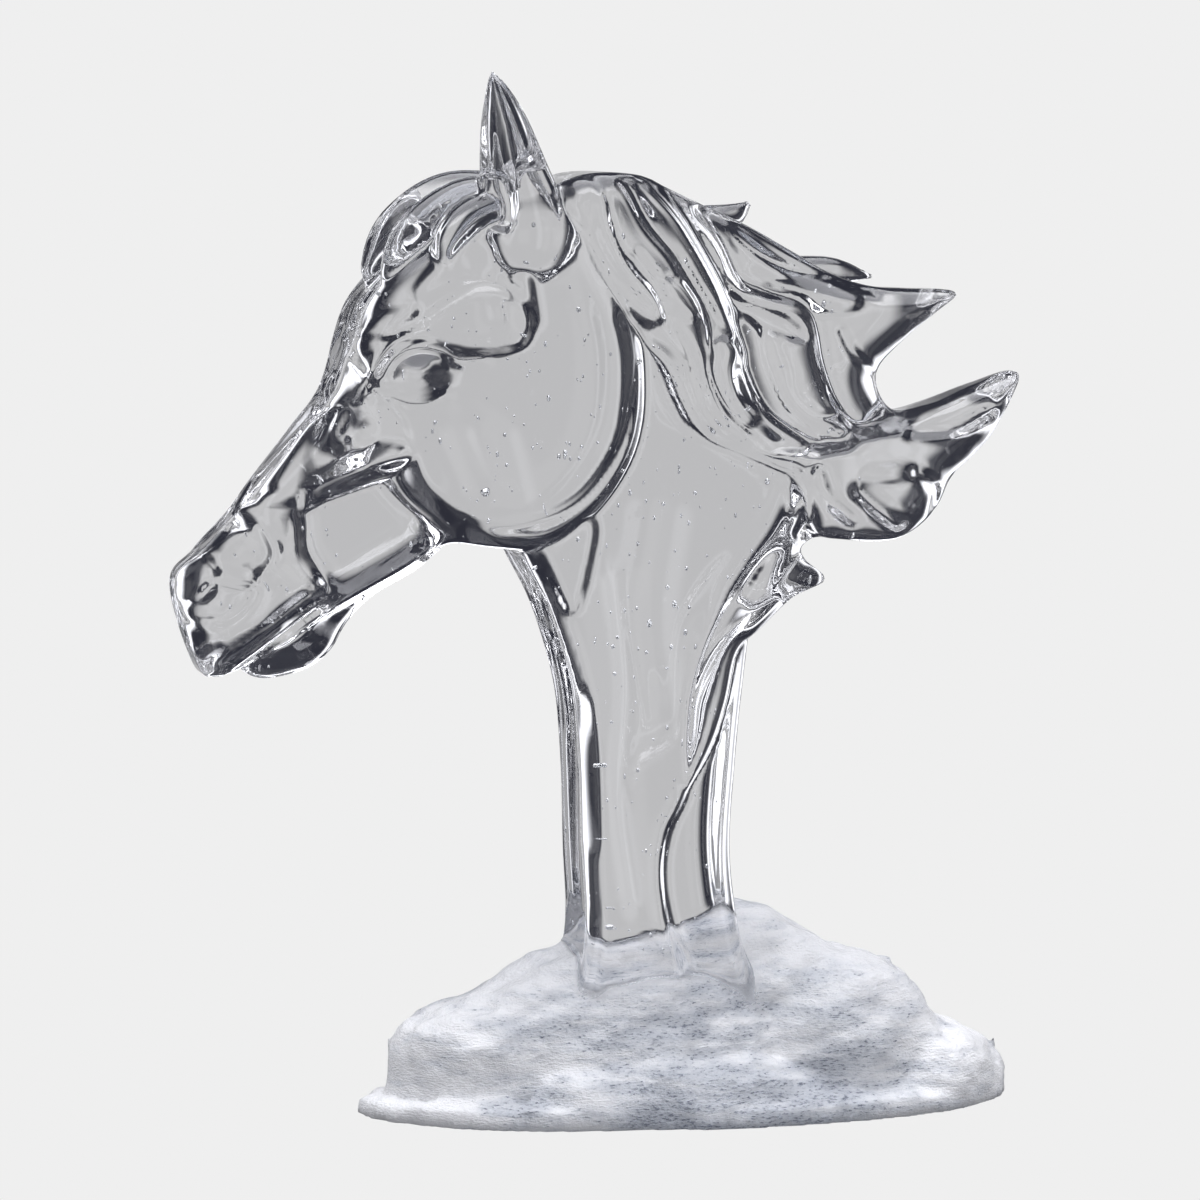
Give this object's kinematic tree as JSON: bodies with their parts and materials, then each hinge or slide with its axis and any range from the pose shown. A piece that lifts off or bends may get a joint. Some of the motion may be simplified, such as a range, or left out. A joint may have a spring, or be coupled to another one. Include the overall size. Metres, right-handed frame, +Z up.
{
  "type": "horse head sculpture",
  "caption": "Horse's head with a wind-blown mane and a long neck, cast in one block of clear resin with a rough frosted mound as its foot; it stands by its own weight.",
  "frame": {"origin": "middle of the bounding box on the plane that the mound stands on", "axes": "+Z up from the underside to the ear tips; the horse looks along -X, and its left side, the near side in the picture, faces -Y"},
  "size_m": [0.3277, 0.1248, 0.3993],
  "materials": {
    "clear_resin": "clear cast resin, polished on the horse, rough and frosted white on the mound, with small air bubbles"
  },
  "bodies": {
    "root": {"horse_head_casting": "clear_resin"}
  },
  "joints": []
}
